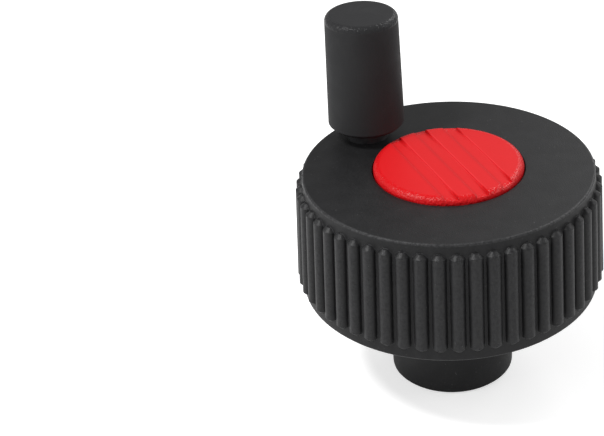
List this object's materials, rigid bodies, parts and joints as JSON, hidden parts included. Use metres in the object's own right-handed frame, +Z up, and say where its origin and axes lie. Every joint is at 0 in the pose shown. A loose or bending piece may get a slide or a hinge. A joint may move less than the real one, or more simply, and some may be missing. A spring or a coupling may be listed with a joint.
{
  "type": "knurled handwheel",
  "caption": "Small moulded handwheel with a knurled rim, a metal-bushed hub, a red snap-in cap and a short grip that revolves on its pin.",
  "frame": {"origin": "centre of the hub's end face, at the mouth of the bore", "axes": "+Z up the bore towards the wheel's face, +X from the bore to the grip"},
  "size_m": [0.08, 0.0798, 0.094],
  "materials": {
    "moulding": "glass-filled polyamide, fine matt texture, black",
    "bush_metal": "turned, zinc-plated",
    "cap_red": "moulded, fine matt texture, red",
    "grip_moulding": "polyamide, matt, black",
    "pin_steel": "turned, black oxide",
    "brass": "turned",
    "spring_steel": "spring steel, plain"
  },
  "bodies": {
    "wheel_body": {"wheel": "moulding", "hub_bush": "bush_metal", "cap": "cap_red", "grip_axle": "pin_steel", "grip_insert": "brass", "snap_ring": "spring_steel"},
    "grip_body": {"grip": "grip_moulding"}
  },
  "joints": [
    {"name": "grip_spin", "type": "hinge", "parent": "wheel_body", "child": "grip_body", "pos_m": [0.0282, 0, 0.0631], "axis": [0, 0, 1], "continuous": true}
  ]
}
